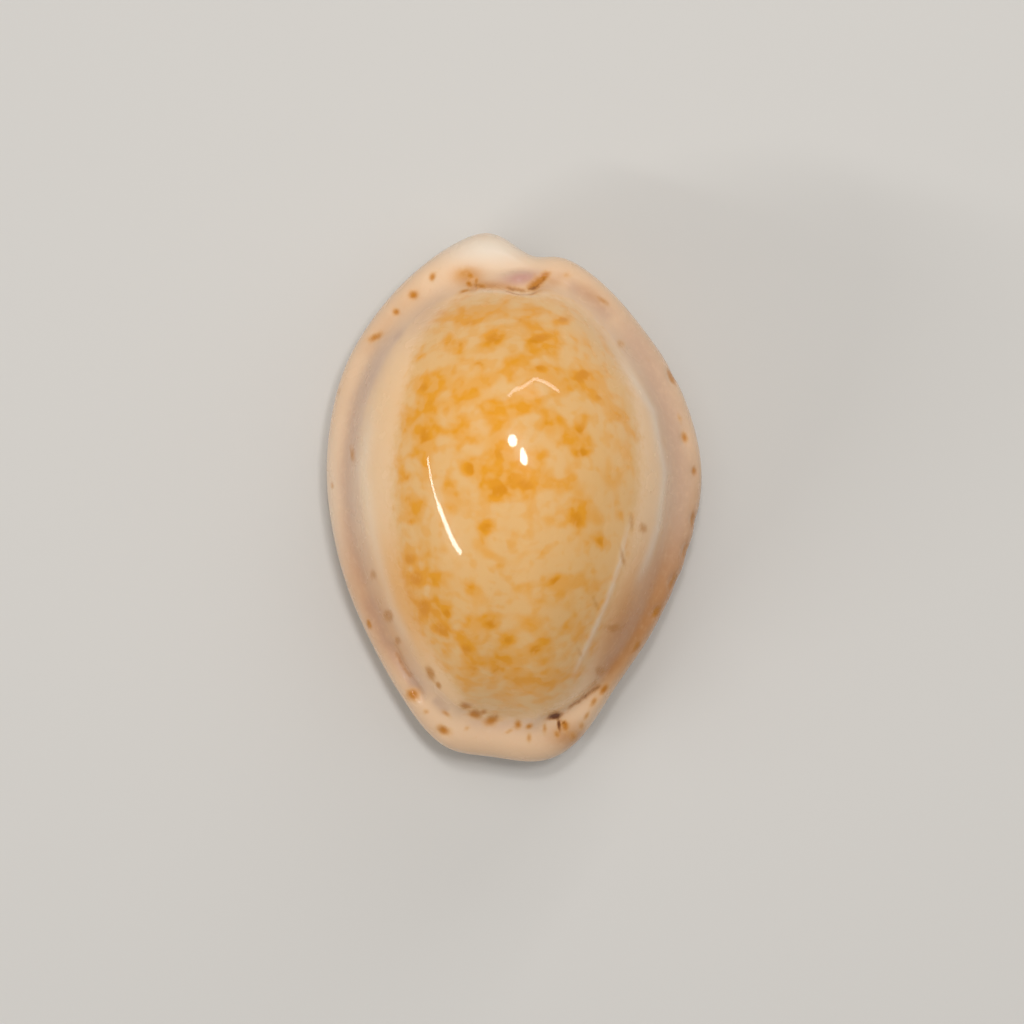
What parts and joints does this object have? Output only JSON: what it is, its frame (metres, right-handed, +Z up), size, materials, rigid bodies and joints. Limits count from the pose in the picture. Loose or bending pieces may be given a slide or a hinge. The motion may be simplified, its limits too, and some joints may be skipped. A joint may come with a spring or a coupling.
{
  "type": "cowrie shell",
  "caption": "Small egg-shaped cowrie shell with a domed glossy back, a thickened flanged rim and a hollow body that opens under the base through a long toothed slit.",
  "frame": {"origin": "middle of the shell's footprint, on the surface it rests on", "axes": "+X towards the inner-lip side, +Y towards the spire end, +Z up through the back"},
  "size_m": [0.0186, 0.026, 0.0134],
  "materials": {
    "porcelain": "glossy"
  },
  "bodies": {
    "root": {"shell": "porcelain"}
  },
  "joints": []
}
